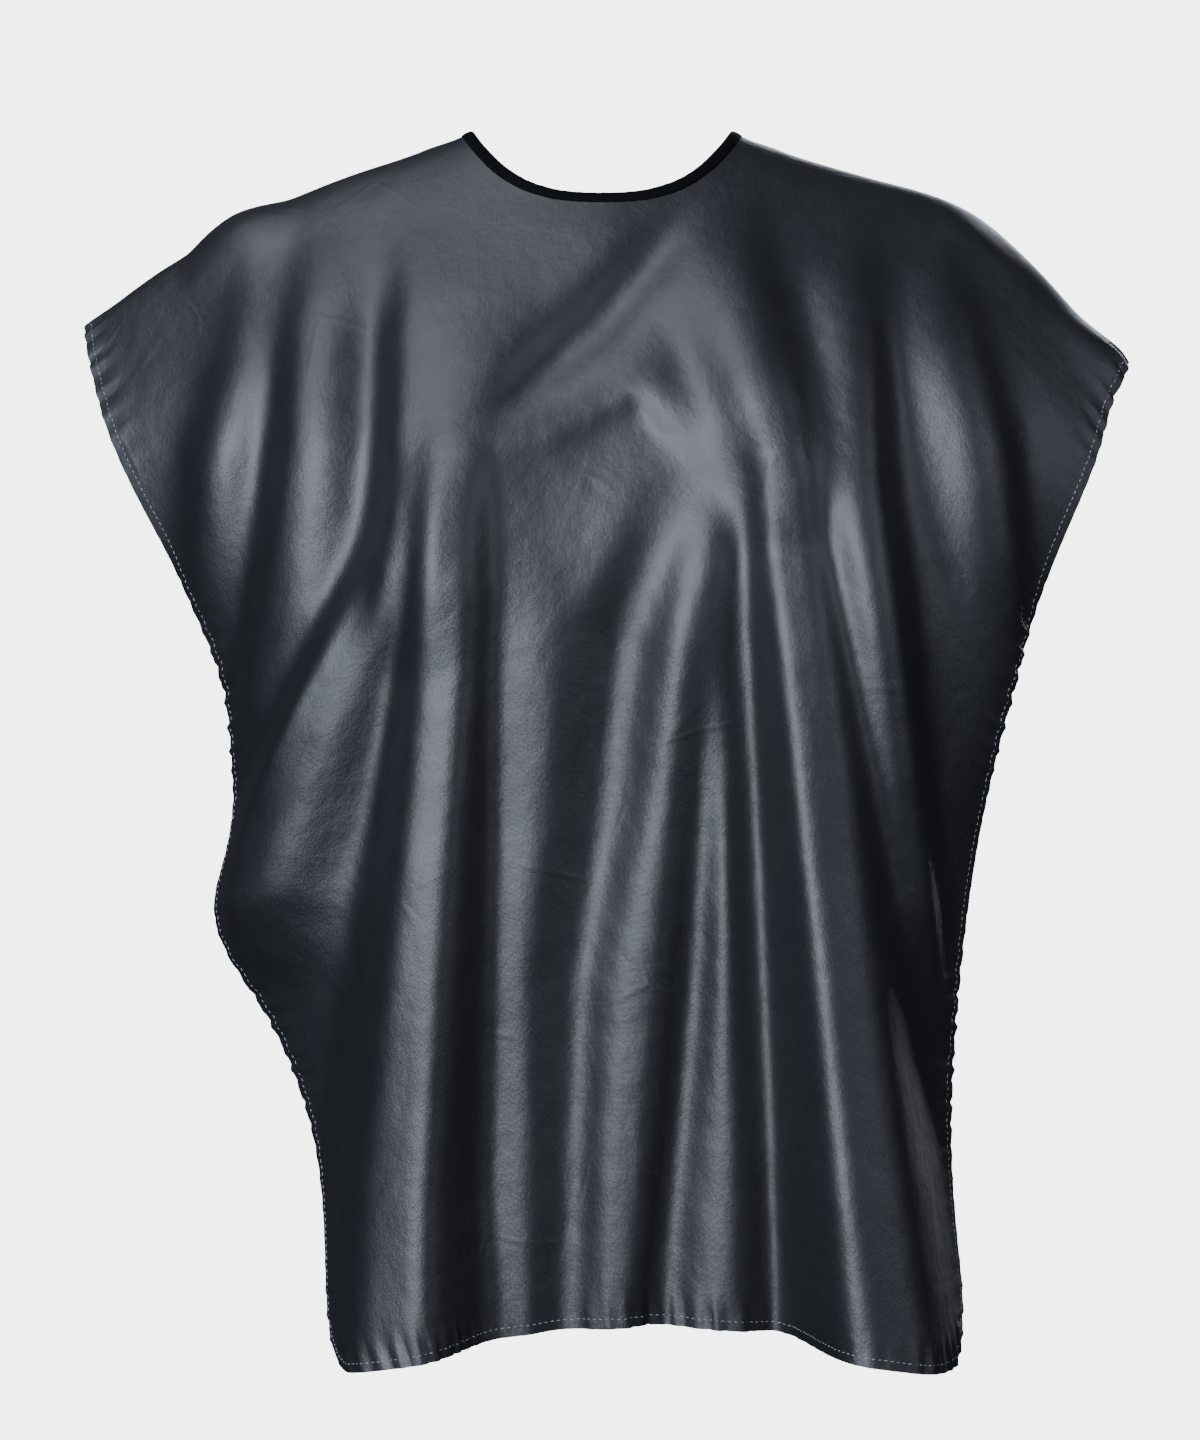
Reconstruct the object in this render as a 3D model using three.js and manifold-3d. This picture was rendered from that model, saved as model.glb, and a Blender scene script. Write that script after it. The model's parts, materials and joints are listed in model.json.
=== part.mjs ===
// Barber cape of thin nylon taffeta, shown as it hangs on a wearer.
// Millimetres, +Z up, the front of the cape faces -Y, +X is to the right seen from the front.
// The origin is the centre of the neck opening, level with the sides of the neck.
//
// The cape is one flat cut of cloth with a round neck hole and a slit down the back. Every place
// on it has flat coordinates: u across the cut, v along it (v > 0 in front, v < 0 behind, 0 on the
// shoulder line). surfaceAt(u, v) gives the place of that bit of cloth on the wearer.
import * as THREE from 'three';
import { mergeVertices } from 'three/addons/utils/BufferGeometryUtils.js';
import Module from 'manifold-3d';

// Driving dimensions of the flat cut.
const CUT_WIDTH = 760;
const FRONT_LENGTH = 810;
const BACK_LENGTH = 460;
const CORNER_RADIUS = 60;
const NECK_RADIUS = 80;
const HALF_WIDTH = CUT_WIDTH / 2;
// The drape below is that of a cut 760 wide. A wider cut hangs on a wearer larger by WEARER_SIZE.
const WEARER_SIZE = CUT_WIDTH / 760;
const BACK_FOLD_LINE = -160 * WEARER_SIZE;
const HINGE_GAP = 0.6;
const SLIT_HALF_GAP_TOP = 1.2;
const SLIT_HALF_GAP_HEM = 26;
const CLOTH = 1.6;

// Sewn-on pieces at the neck.
const BINDING_WIDTH = 7.5;
const BINDING_THICKNESS = 3.2;
const BAND_INNER = 5;
const BAND_WIDTH = 18;
const BAND_THICKNESS = 1.2;
const TAB_THICKNESS = 1.6;
const TAB_START = -8;
const TAB_END = 40;
const TAB_BASE_START = -32;
const TAB_BASE_END = -13;
const STRIP_START = 4;
const STRIP_END = 92;
const FIRST_STUD = 14;
const STUD_PITCH = 17;
const STUD_COUNT = 5;
const SOCKET_COUNT = 2;
const SEAT_GAP = 0.8;
const POST_SEAT_GAP = 2;
const GAP = 0.3;
const TAB_ROOT_HEIGHT = 2.6;
const TAB_HEIGHT = 6.1;
const TAB_RISE_END = 8;

// Press studs.
const SHANK_RADIUS = 1.2;
const SHANK_HOLE_RADIUS = 1.7;
const POST_HEAD_RADIUS = 5;
const POST_HEAD_THICKNESS = 1;
const STUD_FLANGE_RADIUS = 4.8;
const STUD_FLANGE_THICKNESS = 0.7;
const STUD_KNOB_RADIUS = 2.3;
const STUD_KNOB_TOP = 4.8;
const SOCKET_RADIUS = 5;
const SOCKET_BORE_RADIUS = 2.9;
const SOCKET_BOTTOM = 3.3;
const SOCKET_TOP = 5.6;
const SOCKET_FLOOR = 0.4;
const CAP_RADIUS = 5.6;
const CAP_HEIGHT = 1.3;
const ROUND_SIDES = 16;

// Hem thread.
const HEM_WIDTH = 8;
const THREAD_RADIUS = 0.45;
const THREAD_LIFT = 1.1;

// Meshing of the cloth.
const NECK_COLUMNS = 16;
const SIDE_COLUMNS = 12;
const FRONT_ROWS = 24;
const YOKE_ROWS = 6;
const BACK_ROWS = 11;
const BAND_STEP = 5;

// The drape, row by row. Each row of cloth (constant v) is described by the place of its middle
// and of its two side edges: x of the middle, half width in x, bend of x towards the neck, y and z
// of the middle and of the edges, and the powers that lead y and z from the middle to the edges.
const ROWS = [
  { v: -460, xMid: 0, half: 215, bend: 0,
    yMid: 128, yEdge: 82, yPower: 1, zMid: -414, zEdge: -545, zPower: 1 },
  { v: -250, xMid: 0, half: 250, bend: 0,
    yMid: 122, yEdge: 66, yPower: 1, zMid: -208, zEdge: -346, zPower: 1 },
  { v: -160, xMid: 0, half: 278, bend: 0,
    yMid: 110, yEdge: 56, yPower: 1, zMid: -122, zEdge: -260, zPower: 1 },
  { v: -80, xMid: 0, half: 313, bend: 0.06,
    yMid: 76, yEdge: 36, yPower: 1.9, zMid: -57, zEdge: -192, zPower: 1.5 },
  { v: 0, xMid: 0, half: 337, bend: 0.093,
    yMid: 0, yEdge: 0, yPower: 2.2, zMid: 8, zEdge: -135, zPower: 1.6 },
  { v: 80, xMid: 0, half: 322, bend: 0.07,
    yMid: -75, yEdge: -42, yPower: 2.2, zMid: -57, zEdge: -190, zPower: 1.6 },
  { v: 280, xMid: 0, half: 254, bend: 0,
    yMid: -156, yEdge: -42, yPower: 2.2, zMid: -240, zEdge: -352, zPower: 1.8 },
  { v: 500, xMid: 6, half: 222, bend: 0,
    yMid: -146, yEdge: -28, yPower: 2.2, zMid: -458, zEdge: -525, zPower: 2 },
  { v: 810, xMid: 28, half: 190, bend: 0,
    yMid: -122, yEdge: -28, yPower: 2.2, zMid: -768, zEdge: -776, zPower: 2 },
];

// Crests of the folds, each falling from its apex to its foot in the x, z plane. depth is how far
// the crest stands out at the foot, and width is half of its spread there.
const FRONT_FOLDS = [
  { apex: [-213, -117], foot: [-238, -330], depth: 15, width: 24 },
  { apex: [-150, -117], foot: [-202, -430], depth: 20, width: 28 },
  { apex: [-117, -250], foot: [-172, -600], depth: 22, width: 24 },
  { apex: [-92, -215], foot: [-131, -775], depth: 100, width: 50 },
  { apex: [-60, -264], foot: [-50, -770], depth: 16, width: 24 },
  { apex: [71, -264], foot: [2, -770], depth: 18, width: 26 },
  { apex: [78, -313], foot: [60, -770], depth: 18, width: 20 },
  { apex: [92, -215], foot: [165, -775], depth: 124, width: 48 },
  { apex: [137, -250], foot: [200, -640], depth: 22, width: 26 },
  { apex: [187, -117], foot: [240, -380], depth: 18, width: 26 },
];
const BACK_FOLDS = [
  { apex: [-60, -160], foot: [-85, -450], depth: 28, width: 30 },
  { apex: [-150, -200], foot: [-175, -500], depth: 30, width: 32 },
  { apex: [70, -170], foot: [75, -450], depth: 26, width: 28 },
  { apex: [155, -200], foot: [180, -500], depth: 32, width: 34 },
];

const FABRIC = { color: 0x24262c, roughness: 0.42, metalness: 0 };
const BINDING = { color: 0x08080a, roughness: 0.8, metalness: 0 };
const WEBBING = { color: 0x101114, roughness: 0.7, metalness: 0 };
const THREAD = { color: 0x8b8e94, roughness: 0.6, metalness: 0 };
const SNAP = { color: 0x17181b, roughness: 0.35, metalness: 0.2 };

const wasm = await Module();
wasm.setup();

const cape = new THREE.Group();

function addPiece(name, geometry, look) {
  const mesh = new THREE.Mesh(geometry, new THREE.MeshStandardMaterial(look));
  mesh.name = name;
  cape.add(mesh);
}

const ROW_VALUES = Object.keys(ROWS[0]).length - 1;
const FOLD_APEX_SPREAD = 0.1;
const FOLD_RISE = 0.8;
const BACK_FOLDS_START = 10;
const BACK_FOLDS_FULL = 80;
const rowSpline = new THREE.CubicInterpolant(
  ROWS.map((row) => row.v),
  ROWS.flatMap(({ v, ...values }) => Object.values(values)),
  ROW_VALUES,
);

// How far one fold lifts the cloth at x, z: nothing at the apex, all of it at the foot.
function foldLift({ apex, foot, depth, width }, x, z) {
  const fall = (apex[1] - z) / (apex[1] - foot[1]);
  if (fall <= 0) return 0;
  const crest = THREE.MathUtils.lerp(apex[0], foot[0], fall);
  const spread = width * Math.sqrt(Math.min(fall, 1) + FOLD_APEX_SPREAD);
  return depth * Math.min(fall, 1) ** FOLD_RISE * Math.exp(-(((x - crest) / spread) ** 2));
}

// Rounds the two lower corners of the cut, front and back, by pulling places near them inwards.
function roundCorner(u, v) {
  const end = v > 0 ? FRONT_LENGTH : BACK_LENGTH;
  const across = Math.abs(u) - (HALF_WIDTH - CORNER_RADIUS);
  const along = Math.abs(v) - (end - CORNER_RADIUS);
  if (across <= 0 || along <= 0) return [u, v];
  const pull = Math.max(across, along) / Math.hypot(across, along);
  return [
    Math.sign(u) * (HALF_WIDTH - CORNER_RADIUS + across * pull),
    Math.sign(v) * (end - CORNER_RADIUS + along * pull),
  ];
}

// Place on the wearer of the cloth's outer face at flat coordinates u, v.
function surfaceAt(u, v) {
  const row = THREE.MathUtils.clamp(v / WEARER_SIZE, ROWS[0].v, ROWS.at(-1).v);
  const [xMid, half, bend, yMid, yEdge, yPower, zMid, zEdge, zPower] = rowSpline.evaluate(row);
  const share = u / HALF_WIDTH;
  const x = xMid + half * (share + bend * Math.sin(Math.PI * share));
  const straightFall = Math.abs(v / WEARER_SIZE - row);
  const z = zMid + (zEdge - zMid) * Math.abs(share) ** zPower - straightFall;
  const y = yMid + (yEdge - yMid) * Math.abs(share) ** yPower;
  const folds = v > 0 ? FRONT_FOLDS : BACK_FOLDS;
  const belowFold = BACK_FOLD_LINE - v;
  const ramp = v > 0 ? 1 : THREE.MathUtils.smoothstep(belowFold, BACK_FOLDS_START, BACK_FOLDS_FULL);
  const lift = ramp * folds.reduce((sum, fold) => sum + foldLift(fold, x, z), 0);
  return new THREE.Vector3(x, y - Math.sign(v) * lift, z).multiplyScalar(WEARER_SIZE);
}

function normalAt(u, v) {
  const step = 2;
  const across = surfaceAt(u + step, v).sub(surfaceAt(u - step, v));
  const along = surfaceAt(u, v + step).sub(surfaceAt(u, v - step));
  return along.cross(across).normalize();
}

// Place at height d above the cloth's outer face (below it where d is negative).
function above(u, v, d) {
  return surfaceAt(u, v).addScaledVector(normalAt(u, v), d);
}

// Flat coordinates of a place by its distance from the centre of the neck hole and by its distance
// s from the back slit along the neckline, positive on the wearer's right half seen from the front.
function neckPlace(s, radius) {
  const angle = s / (NECK_RADIUS + BAND_INNER + BAND_WIDTH / 2);
  return [radius * Math.sin(angle), -radius * Math.cos(angle)];
}

function geometryFrom(positions, triangles) {
  const geometry = new THREE.BufferGeometry();
  geometry.setAttribute('position', new THREE.Float32BufferAttribute(positions, 3));
  geometry.setIndex(triangles);
  return geometry;
}

// A sheet of cloth CLOTH thick: cells is a list of four flat corners each, in order around the
// cell. Corners that fall together are shared, and free edges are closed by a wall.
function clothShell(cells) {
  const index = new Map();
  const outer = [];
  const inner = [];
  const corner = ([u, v]) => {
    const key = `${u.toFixed(3)},${v.toFixed(3)}`;
    if (!index.has(key)) {
      index.set(key, outer.length / 3);
      const place = roundCorner(u, v);
      outer.push(...above(...place, 0).toArray());
      inner.push(...above(...place, -CLOTH).toArray());
    }
    return index.get(key);
  };
  const loops = cells.map((cell) => [...new Set(cell.map(corner))]);
  const count = outer.length / 3;
  const triangles = [];
  const edges = new Set();
  for (const loop of loops) {
    for (let k = 1; k < loop.length - 1; k += 1) {
      triangles.push(loop[0], loop[k], loop[k + 1]);
      triangles.push(count + loop[0], count + loop[k + 1], count + loop[k]);
    }
    loop.forEach((a, k) => edges.add(`${a},${loop[(k + 1) % loop.length]}`));
  }
  for (const edge of edges) {
    const [a, b] = edge.split(',').map(Number);
    if (!edges.has(`${b},${a}`)) triangles.push(b, a, count + a, b, count + a, count + b);
  }
  return geometryFrom([...outer, ...inner], triangles);
}

// A bar whose section, a list of corners, is placed by place(station, corner) at each station.
function sweptBar(stations, section, place) {
  const positions = stations.flatMap(
    (station) => section.flatMap((corner) => place(station, corner).toArray()),
  );
  const sides = section.length;
  const triangles = [];
  for (let k = 0; k < stations.length - 1; k += 1) {
    for (let m = 0; m < sides; m += 1) {
      const a = k * sides + m;
      const b = k * sides + ((m + 1) % sides);
      triangles.push(a, b, a + sides, b, b + sides, a + sides);
    }
  }
  const last = (stations.length - 1) * sides;
  for (let m = 1; m < sides - 1; m += 1) {
    triangles.push(0, m + 1, m, last, last + m, last + m + 1);
  }
  const geometry = geometryFrom(positions, triangles);
  return signedVolume(geometry) > 0 ? geometry : geometryFrom(positions, triangles.reverse());
}

function signedVolume(geometry) {
  const corners = geometry.index.array;
  const place = geometry.attributes.position;
  const [a, b, c] = [new THREE.Vector3(), new THREE.Vector3(), new THREE.Vector3()];
  let volume = 0;
  for (let k = 0; k < corners.length; k += 3) {
    [a, b, c].forEach((corner, m) => corner.fromBufferAttribute(place, corners[k + m]));
    volume += a.dot(b.cross(c)) / 6;
  }
  return volume;
}

// A turned piece: the profile is radius and height above the cloth, set on the cloth at u, v.
function turnedPiece(profile, u, v) {
  const points = profile.map(([radius, height]) => new THREE.Vector2(radius, height));
  const geometry = new THREE.LatheGeometry(points, ROUND_SIDES);
  const turn = new THREE.Quaternion().setFromUnitVectors(new THREE.Vector3(0, 1, 0), normalAt(u, v));
  geometry.applyQuaternion(turn).translate(...surfaceAt(u, v).toArray());
  return geometry;
}

function toManifold(geometry) {
  const bare = geometry.clone();
  bare.deleteAttribute('normal');
  bare.deleteAttribute('uv');
  const merged = mergeVertices(bare, 1e-4);
  return new wasm.Manifold(new wasm.Mesh({
    numProp: 3,
    vertProperties: new Float32Array(merged.attributes.position.array),
    triVerts: new Uint32Array(merged.index.array),
  }));
}

// Cuts the round holes for the shanks of the press studs at the given places along the neckline.
function withShankHoles(geometry, places) {
  const reach = 12;
  const profile = [[0, -reach], [SHANK_HOLE_RADIUS, -reach], [SHANK_HOLE_RADIUS, reach], [0, reach]];
  const solid = places.reduce(
    (body, place) => body.subtract(toManifold(turnedPiece(profile, ...place))),
    toManifold(geometry),
  );
  const mesh = solid.getMesh();
  return geometryFrom(mesh.vertProperties, [...mesh.triVerts]);
}

// Columns of the cloth: those over the neck hole start on its edge, evenly around it.
const quarterTurn = Math.PI / 2;
const neckColumns = Array.from(
  { length: NECK_COLUMNS + 1 },
  (_, k) => NECK_RADIUS * Math.sin(-quarterTurn + (2 * quarterTurn * k) / NECK_COLUMNS),
);
const sideColumns = Array.from(
  { length: SIDE_COLUMNS },
  (_, k) => HALF_WIDTH - HEM_WIDTH - ((HALF_WIDTH - HEM_WIDTH - NECK_RADIUS) * k) / SIDE_COLUMNS,
);
const rightColumns = [
  ...neckColumns.filter((u) => u > 1), ...sideColumns.slice().reverse(), HALF_WIDTH,
];
const columns = [...rightColumns.map((u) => -u).reverse(), 0, ...rightColumns];

const holeEdge = (u) => (Math.abs(u) < NECK_RADIUS - 0.01 ? Math.sqrt(NECK_RADIUS ** 2 - u ** 2) : 0);
const slitHalfGap = (v) => THREE.MathUtils.mapLinear(
  -v, NECK_RADIUS, BACK_LENGTH, SLIT_HALF_GAP_TOP, SLIT_HALF_GAP_HEM,
);

// Rows of one column from v0 to v1, with a narrow last row for the hem.
function rowsBetween(v0, v1, count, hem) {
  const end = v1 - Math.sign(v1 - v0) * hem;
  const rows = Array.from({ length: count + 1 }, (_, k) => THREE.MathUtils.lerp(v0, end, k / count));
  return hem > 0 ? [...rows, v1] : rows;
}

const frontRows = (u) => rowsBetween(holeEdge(u), FRONT_LENGTH, FRONT_ROWS, HEM_WIDTH);
const yokeRows = (u) => rowsBetween(-holeEdge(u), BACK_FOLD_LINE, YOKE_ROWS, 0);
const backRows = () => rowsBetween(BACK_FOLD_LINE - HINGE_GAP, -BACK_LENGTH, BACK_ROWS, HEM_WIDTH);

// Cells between neighbouring columns. side is 0 in front, and -1 or 1 for a half behind, where
// the column in the middle is moved off the slit.
function cellsOf(chosen, rowsOf, side) {
  const place = (u, v) => [u === 0 && side !== 0 ? side * slitHalfGap(v) : u, v];
  const cells = [];
  for (let k = 0; k < chosen.length - 1; k += 1) {
    const near = rowsOf(chosen[k]).map((v) => place(chosen[k], v));
    const far = rowsOf(chosen[k + 1]).map((v) => place(chosen[k + 1], v));
    for (let m = 0; m < near.length - 1; m += 1) {
      const cell = [near[m], near[m + 1], far[m + 1], far[m]];
      cells.push(side === 0 ? cell : cell.reverse());
    }
  }
  return cells;
}

const leftColumns = columns.filter((u) => u <= 0);
const middleAndRight = columns.filter((u) => u >= 0);
const studPlaces = Array.from(
  { length: STUD_COUNT },
  (_, k) => neckPlace(FIRST_STUD + k * STUD_PITCH, NECK_RADIUS + BAND_INNER + BAND_WIDTH / 2),
);
const socketPlaces = studPlaces.slice(0, SOCKET_COUNT);

function capeBody() {
  const cells = [
    ...cellsOf(columns, frontRows, 0),
    ...cellsOf(leftColumns, yokeRows, -1),
    ...cellsOf(middleAndRight, yokeRows, 1),
  ];
  return withShankHoles(clothShell(cells), studPlaces);
}

// The thread runs through the places where the narrow hem cells meet the rest of the cloth.
function hemThread(route) {
  const section = [[-1, 0], [0, -1], [1, 0], [0, 1]];
  const places = route.map(([u, v]) => roundCorner(u, v));
  const points = places.map(([u, v]) => above(u, v, THREAD_LIFT));
  return sweptBar(points.map((_, k) => k), section, (k, [a, b]) => {
    const ahead = points[Math.min(k + 1, points.length - 1)];
    const behind = points[Math.max(k - 1, 0)];
    const up = normalAt(...places[k]);
    const side = ahead.clone().sub(behind).cross(up).normalize();
    return points[k].clone()
      .addScaledVector(side, a * THREAD_RADIUS)
      .addScaledVector(up, b * THREAD_RADIUS);
  });
}

function frontHemRoute() {
  const edge = HALF_WIDTH - HEM_WIDTH;
  const down = [...yokeRows(edge).slice(1, -1).reverse(), ...frontRows(edge).slice(0, -1)];
  const across = columns
    .filter((u) => Math.abs(u) < edge - 1)
    .map((u) => [u, FRONT_LENGTH - HEM_WIDTH]);
  return [...down.map((v) => [-edge, v]), ...across, ...down.reverse().map((v) => [edge, v])];
}

function backHemRoute(side) {
  const edge = HALF_WIDTH - HEM_WIDTH;
  const down = backRows().slice(1, -1);
  const inner = rightColumns[0];
  const across = rightColumns
    .filter((u) => u < edge - 1)
    .slice(1)
    .map((u) => [side * u, HEM_WIDTH - BACK_LENGTH]);
  return [
    ...down.map((v) => [side * inner, v]),
    ...across,
    ...down.slice().reverse().map((v) => [side * edge, v]),
  ];
}

const BINDING_ROUNDING = 1.2;
const NEAR_FULLNESS = 0.6;
const FAR_FULLNESS = 0.5;
const JUST_BEYOND = 1.05;

// The binding lies inside the edge of the neck hole, and its two ends stop at the slit.
function neckBinding() {
  const turns = 2 * NECK_COLUMNS;
  const start = (2 * SLIT_HALF_GAP_TOP) / NECK_RADIUS;
  const stations = Array.from({ length: turns + 1 }, (_, k) => {
    const angle = (k * 2 * Math.PI) / turns;
    return Math.min(Math.max(angle, start), 2 * Math.PI - start);
  });
  const near = NECK_RADIUS - SEAT_GAP;
  const far = near - BINDING_WIDTH;
  const mid = -CLOTH / 2;
  const bulge = BINDING_THICKNESS / 2;
  const nearFlat = near - BINDING_ROUNDING;
  const farFlat = far + BINDING_ROUNDING;
  const section = [
    [near, mid - bulge * NEAR_FULLNESS], [nearFlat, mid - bulge],
    [farFlat, mid - bulge], [far, mid - bulge * FAR_FULLNESS],
    [far, mid + bulge * FAR_FULLNESS], [farFlat, mid + bulge],
    [nearFlat, mid + bulge], [near, mid + bulge * NEAR_FULLNESS],
  ];
  return sweptBar(stations, section, (angle, [radius, d]) => {
    const edge = [NECK_RADIUS * Math.sin(angle), -NECK_RADIUS * Math.cos(angle)];
    const beyond = edge.map((value) => value * JUST_BEYOND);
    const outwards = surfaceAt(...beyond).sub(surfaceAt(...edge)).normalize();
    return above(...edge, d).addScaledVector(outwards, radius - NECK_RADIUS);
  });
}

// A band along the neckline between two distances from the slit. lift(s) is the height of its
// lower face above the cloth.
function neckBand(from, to, thickness, lift) {
  const count = Math.ceil((to - from) / BAND_STEP);
  const stations = Array.from(
    { length: count + 1 },
    (_, k) => THREE.MathUtils.lerp(from, to, k / count),
  );
  const inner = NECK_RADIUS + BAND_INNER;
  const section = [[inner, 0], [inner + BAND_WIDTH / 2, 0], [inner + BAND_WIDTH, 0],
    [inner + BAND_WIDTH, thickness], [inner + BAND_WIDTH / 2, thickness], [inner, thickness]];
  return sweptBar(stations, section, (s, [radius, d]) => above(...neckPlace(s, radius), lift(s) + d));
}

const tabLift = (s) => THREE.MathUtils.lerp(
  TAB_ROOT_HEIGHT, TAB_HEIGHT, THREE.MathUtils.smoothstep(s, TAB_START, TAB_RISE_END),
);

const STRIP_TOP = SEAT_GAP + BAND_THICKNESS;
const POST_HEAD_TOP = -CLOTH - POST_SEAT_GAP;
const SHANK_TOP = 3.6;
const ROUNDING = 0.4;
const CHAMFER = 0.5;
const KNOB_SHOULDER = 0.6;
const POST_PROFILE = [
  [0, POST_HEAD_TOP - POST_HEAD_THICKNESS],
  [POST_HEAD_RADIUS, POST_HEAD_TOP - POST_HEAD_THICKNESS],
  [POST_HEAD_RADIUS, POST_HEAD_TOP],
  [SHANK_RADIUS, POST_HEAD_TOP],
  [SHANK_RADIUS, SHANK_TOP],
  [0, SHANK_TOP],
];
const FLANGE_BOTTOM = STRIP_TOP + GAP;
const STUD_BORE_RADIUS = SHANK_RADIUS + GAP;
const STUD_PROFILE = [
  [STUD_BORE_RADIUS, FLANGE_BOTTOM],
  [STUD_FLANGE_RADIUS, FLANGE_BOTTOM],
  [STUD_FLANGE_RADIUS, FLANGE_BOTTOM + STUD_FLANGE_THICKNESS],
  [STUD_KNOB_RADIUS - ROUNDING, FLANGE_BOTTOM + 1],
  [STUD_KNOB_RADIUS, STUD_KNOB_TOP - KNOB_SHOULDER],
  [STUD_KNOB_RADIUS - KNOB_SHOULDER, STUD_KNOB_TOP],
  [0, STUD_KNOB_TOP],
  [0, SHANK_TOP + GAP],
  [STUD_BORE_RADIUS, SHANK_TOP + GAP],
  [STUD_BORE_RADIUS, FLANGE_BOTTOM],
];
const SOCKET_PROFILE = [
  [SOCKET_BORE_RADIUS, SOCKET_BOTTOM],
  [SOCKET_RADIUS - ROUNDING, SOCKET_BOTTOM],
  [SOCKET_RADIUS, SOCKET_BOTTOM + CHAMFER],
  [SOCKET_RADIUS, SOCKET_TOP],
  [0, SOCKET_TOP],
  [0, SOCKET_TOP - SOCKET_FLOOR],
  [SOCKET_BORE_RADIUS, SOCKET_TOP - SOCKET_FLOOR],
  [SOCKET_BORE_RADIUS, SOCKET_BOTTOM],
];
const CAP_BOTTOM = TAB_HEIGHT + TAB_THICKNESS + GAP;
const CAP_PROFILE = [
  [0, SOCKET_TOP + GAP],
  [SHANK_RADIUS, SOCKET_TOP + GAP],
  [SHANK_RADIUS, CAP_BOTTOM],
  [CAP_RADIUS, CAP_BOTTOM],
  [CAP_RADIUS, CAP_BOTTOM + CHAMFER],
  [CAP_RADIUS * 0.7, CAP_BOTTOM + CAP_HEIGHT * 0.85],
  [0, CAP_BOTTOM + CAP_HEIGHT],
];

addPiece('cape_body', capeBody(), FABRIC);
addPiece('back_panel_left', clothShell(cellsOf(leftColumns, backRows, -1)), FABRIC);
addPiece('back_panel_right', clothShell(cellsOf(middleAndRight, backRows, 1)), FABRIC);
addPiece('neck_binding', neckBinding(), BINDING);
const seat = () => SEAT_GAP;
const strip = neckBand(STRIP_START, STRIP_END, BAND_THICKNESS, seat);
const tabBase = neckBand(TAB_BASE_START, TAB_BASE_END, BAND_THICKNESS, seat);
const tab = neckBand(TAB_START, TAB_END, TAB_THICKNESS, tabLift);
addPiece('stud_strip', withShankHoles(strip, studPlaces), WEBBING);
addPiece('tab_base', withShankHoles(tabBase, []), WEBBING);
addPiece('closure_tab', withShankHoles(tab, socketPlaces), WEBBING);
studPlaces.forEach((place, k) => {
  addPiece(`stud_${k + 1}`, turnedPiece(STUD_PROFILE, ...place), SNAP);
  addPiece(`stud_post_${k + 1}`, turnedPiece(POST_PROFILE, ...place), SNAP);
});
socketPlaces.forEach((place, k) => {
  addPiece(`socket_${k + 1}`, turnedPiece(SOCKET_PROFILE, ...place), SNAP);
  addPiece(`socket_cap_${k + 1}`, turnedPiece(CAP_PROFILE, ...place), SNAP);
});
addPiece('front_hem_thread', hemThread(frontHemRoute()), THREAD);
addPiece('back_left_hem_thread', hemThread(backHemRoute(-1)), THREAD);
addPiece('back_right_hem_thread', hemThread(backHemRoute(1)), THREAD);

export default cape;
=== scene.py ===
"""Barber cape: a thin glossy nylon cape, hanging as it does on a wearer.

The cloth starts as a flat cut with a round neck hole and a back slit. It is laid on a designed
drape and relaxed by a position-based simulation that pulls its threads towards their cut lengths.
It also keeps the drape close to the design, so part of the cloth ends longer than it was cut and
part of it shorter.
Metres, +Z up, the front faces -Y, and the origin is the centre of the neck opening.
"""
import json
import math

import bpy
import numpy as np
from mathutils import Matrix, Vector
from mathutils.kdtree import KDTree


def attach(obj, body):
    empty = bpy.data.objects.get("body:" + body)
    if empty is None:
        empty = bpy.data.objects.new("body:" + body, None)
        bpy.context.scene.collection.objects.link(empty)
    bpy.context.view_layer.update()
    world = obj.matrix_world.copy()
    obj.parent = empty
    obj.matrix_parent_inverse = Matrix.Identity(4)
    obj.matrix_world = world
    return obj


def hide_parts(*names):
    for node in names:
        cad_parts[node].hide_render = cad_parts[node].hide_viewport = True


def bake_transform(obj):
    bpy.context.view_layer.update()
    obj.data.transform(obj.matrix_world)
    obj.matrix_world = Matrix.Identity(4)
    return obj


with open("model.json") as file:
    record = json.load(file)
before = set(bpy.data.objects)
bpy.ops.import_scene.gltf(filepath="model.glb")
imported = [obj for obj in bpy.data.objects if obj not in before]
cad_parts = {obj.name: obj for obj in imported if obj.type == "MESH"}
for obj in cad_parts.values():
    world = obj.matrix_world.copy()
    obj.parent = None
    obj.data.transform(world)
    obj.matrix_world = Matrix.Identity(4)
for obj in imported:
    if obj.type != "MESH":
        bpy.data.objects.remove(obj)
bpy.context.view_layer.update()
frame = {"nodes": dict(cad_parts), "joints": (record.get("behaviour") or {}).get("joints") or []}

# The flat cut, as in the CAD.
WIDTH = 0.760
FRONT = 0.810
BACK = 0.460
NECK = 0.080
CORNER = 0.060
HALF = WIDTH / 2
SIDE_RISE = 0.14         # the front hem curves: at the sides the front is shorter by this share
PANEL_LINE = -0.060      # the cloth is divided here into a front piece and two back pieces
CELL = 0.008

# How the cloth behaves in the relaxation.
STEPS = 60
STEP_TIME = 1 / 60
GRAVITY = 0.12
DRAG = 0.05
PULL = 0.06
SHEAR = 0.08
BEND = 0.02
GIVE = 0.04              # thin cloth shortens into ripples finer than the mesh
FRICTION = 0.35
SKIN = 0.002

# Cloth, hem and thread.
THICKNESS = 0.00025
HEM = 0.008
HEM_THICKNESS = 0.0008
STITCH_INSET = 0.0062
STITCH_PITCH = 0.0042
STITCH_LENGTH = 0.0026
THREAD = 0.00028
LINE_STEP = 0.002        # between the places of a seam line
SLIT_CLEARANCE = 0.004   # the back hem's stitches stop this far from the slit
SLIT_SEAM_START = 0.03   # the slit's stitches start this far below the neck hole

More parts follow.
